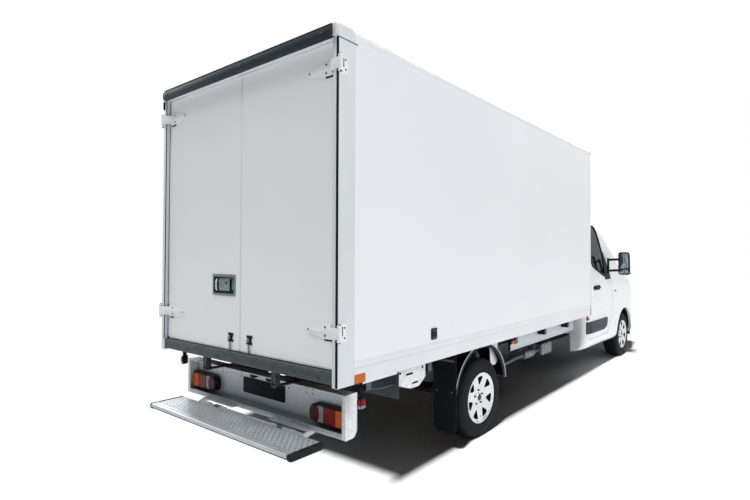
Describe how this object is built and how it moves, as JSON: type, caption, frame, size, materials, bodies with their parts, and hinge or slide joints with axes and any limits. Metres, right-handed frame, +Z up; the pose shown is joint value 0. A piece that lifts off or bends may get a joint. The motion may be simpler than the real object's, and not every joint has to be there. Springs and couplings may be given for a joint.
{
  "type": "mail delivery truck",
  "caption": "Light box-body delivery truck: van cab on a low chassis, tall cargo box with hinged rear doors, folding step, steered road wheels, opening cab doors and bonnet.",
  "frame": {"origin": "on the ground, at the centre of the bounding box", "axes": "+X forward, the way the truck drives; +Y to its left; +Z up"},
  "size_m": [7.114, 2.6, 2.99],
  "materials": {
    "white_paint": "gloss white paint",
    "white_panel": "smooth white laminate",
    "door_panel": "smooth white laminate",
    "black_plastic": "textured black plastic",
    "chassis_black": "dull black chassis paint",
    "floor_ply": "brown phenolic plywood",
    "slate": "anodised slate",
    "sill_green": "dark grey-green paint",
    "galvanised": "galvanised steel",
    "lamp_red": "clear red lens",
    "lamp_clear": "clear lens",
    "tread_aluminium": "perforated aluminium",
    "lock_metal": "dull metal",
    "tyre_rubber": "black rubber",
    "wheel_silver": "silver paint",
    "glass_dark": "tinted glass",
    "seat_cloth": "dark cloth"
  },
  "bodies": {
    "vehicle": {"chassis_frame": "chassis_black", "rear_axle": "chassis_black", "leaf_spring_right": "chassis_black", "leaf_spring_left": "chassis_black", "fuel_tank": "black_plastic", "spare_wheel": "tyre_rubber", "box_floor": "floor_ply", "side_panel_right": "white_panel", "side_panel_left": "white_panel", "front_wall": "white_panel", "box_roof": "white_panel", "cant_rail_right": "white_paint", "cant_rail_left": "white_paint", "lower_rail_right": "white_paint", "lower_rail_left": "white_paint", "rear_frame": "white_paint", "rear_sill": "sill_green", "header_bar": "slate", "rear_bumper": "galvanised", "tail_lamp_right": "lamp_red", "tail_lamp_left": "lamp_red", "mudguard_right": "black_plastic", "mudguard_left": "black_plastic", "door_catch_right": "black_plastic", "door_catch_left": "black_plastic", "cab_shell": "white_paint", "windscreen": "glass_dark", "front_bumper": "black_plastic", "headlamp_right": "lamp_clear", "headlamp_left": "lamp_clear", "cab_seats": "seat_cloth"},
    "rear_door_right": {"rear_door_right": "door_panel", "hinge_strap_lower_right": "white_paint", "hinge_strap_upper_right": "white_paint"},
    "rear_door_left": {"rear_door_left": "door_panel", "hinge_strap_lower_left": "white_paint", "hinge_strap_upper_left": "white_paint", "lock_bezel": "lock_metal"},
    "lock_handle": {"lock_handle": "lock_metal"},
    "latch_right": {"latch_right": "lock_metal"},
    "latch_left": {"latch_left": "lock_metal"},
    "cab_door_right": {"cab_door_right": "white_paint", "door_glass_right": "glass_dark"},
    "cab_door_left": {"cab_door_left": "white_paint", "door_glass_left": "glass_dark"},
    "mirror_right": {"mirror_right": "black_plastic"},
    "mirror_left": {"mirror_left": "black_plastic"},
    "bonnet": {"bonnet": "white_paint"},
    "steer_right": {"knuckle_right": "chassis_black"},
    "steer_left": {"knuckle_left": "chassis_black"},
    "wheel_front_right": {"tyre_front_right": "tyre_rubber", "rim_front_right": "wheel_silver"},
    "wheel_front_left": {"tyre_front_left": "tyre_rubber", "rim_front_left": "wheel_silver"},
    "wheel_rear_right": {"tyre_rear_right": "tyre_rubber", "rim_rear_right": "wheel_silver"},
    "wheel_rear_left": {"tyre_rear_left": "tyre_rubber", "rim_rear_left": "wheel_silver"},
    "steering_wheel": {"steering_wheel": "black_plastic"},
    "step": {"step_tread": "tread_aluminium"}
  },
  "joints": [
    {"name": "rear_door_right_hinge", "type": "hinge", "parent": "vehicle", "child": "rear_door_right", "pos_m": [-3.381, -1.1, 1.9], "axis": [0, 0, 1], "range_deg": [0, 270]},
    {"name": "rear_door_left_hinge", "type": "hinge", "parent": "vehicle", "child": "rear_door_left", "pos_m": [-3.381, 1.1, 1.9], "axis": [0, 0, -1], "range_deg": [0, 270]},
    {"name": "lock_handle_pivot", "type": "hinge", "parent": "rear_door_left", "child": "lock_handle", "pos_m": [-3.349, 0.2, 1.436], "axis": [0, 1, 0], "range_deg": [0, 20]},
    {"name": "latch_right_lift", "type": "slide", "parent": "rear_door_right", "child": "latch_right", "axis": [0, 0, 1], "range_m": [0, 0.028]},
    {"name": "latch_left_lift", "type": "slide", "parent": "rear_door_left", "child": "latch_left", "axis": [0, 0, 1], "range_m": [0, 0.028]},
    {"name": "cab_door_right_hinge", "type": "hinge", "parent": "vehicle", "child": "cab_door_right", "pos_m": [2.0855, -1.035, 1.2], "axis": [0, 0, 1], "range_deg": [0, 70]},
    {"name": "cab_door_left_hinge", "type": "hinge", "parent": "vehicle", "child": "cab_door_left", "pos_m": [2.0855, 1.035, 1.2], "axis": [0, 0, -1], "range_deg": [0, 70]},
    {"name": "mirror_right_fold", "type": "hinge", "parent": "cab_door_right", "child": "mirror_right", "pos_m": [1.853, -1.025, 1.46], "axis": [0, 0, -1], "range_deg": [0, 60]},
    {"name": "mirror_left_fold", "type": "hinge", "parent": "cab_door_left", "child": "mirror_left", "pos_m": [1.853, 1.025, 1.46], "axis": [0, 0, 1], "range_deg": [0, 60]},
    {"name": "bonnet_hinge", "type": "hinge", "parent": "vehicle", "child": "bonnet", "pos_m": [2.8505, 0, 1.409], "axis": [0, -1, 0], "range_deg": [0, 50]},
    {"name": "steer_right_turn", "type": "hinge", "parent": "vehicle", "child": "steer_right", "pos_m": [2.715, -0.78, 0.345], "axis": [0, 0, 1], "range_deg": [-35, 35]},
    {"name": "steer_left_turn", "type": "hinge", "parent": "vehicle", "child": "steer_left", "pos_m": [2.715, 0.78, 0.345], "axis": [0, 0, 1], "range_deg": [-35, 35]},
    {"name": "steering_wheel_turn", "type": "hinge", "parent": "vehicle", "child": "steering_wheel", "pos_m": [1.903, 0.42, 1.22], "axis": [-0.6428, 0, 0.766], "range_deg": [-540, 540]},
    {"name": "wheel_front_right_spin", "type": "hinge", "parent": "steer_right", "child": "wheel_front_right", "pos_m": [2.715, -0.865, 0.345], "axis": [0, 1, 0], "continuous": true},
    {"name": "wheel_front_left_spin", "type": "hinge", "parent": "steer_left", "child": "wheel_front_left", "pos_m": [2.715, 0.865, 0.345], "axis": [0, 1, 0], "continuous": true},
    {"name": "wheel_rear_right_spin", "type": "hinge", "parent": "vehicle", "child": "wheel_rear_right", "pos_m": [-1.617, -0.865, 0.345], "axis": [0, 1, 0], "continuous": true},
    {"name": "wheel_rear_left_spin", "type": "hinge", "parent": "vehicle", "child": "wheel_rear_left", "pos_m": [-1.617, 0.865, 0.345], "axis": [0, 1, 0], "continuous": true},
    {"name": "step_fold", "type": "hinge", "parent": "vehicle", "child": "step", "pos_m": [-3.272, 0, 0.435], "axis": [0, 1, 0], "range_deg": [0, 68]}
  ],
  "couplings": [
    {"joint": "steer_left_turn", "follows": "steer_right_turn", "ratio": 1},
    {"joint": "steering_wheel_turn", "follows": "steer_right_turn", "ratio": 15.4}
  ]
}
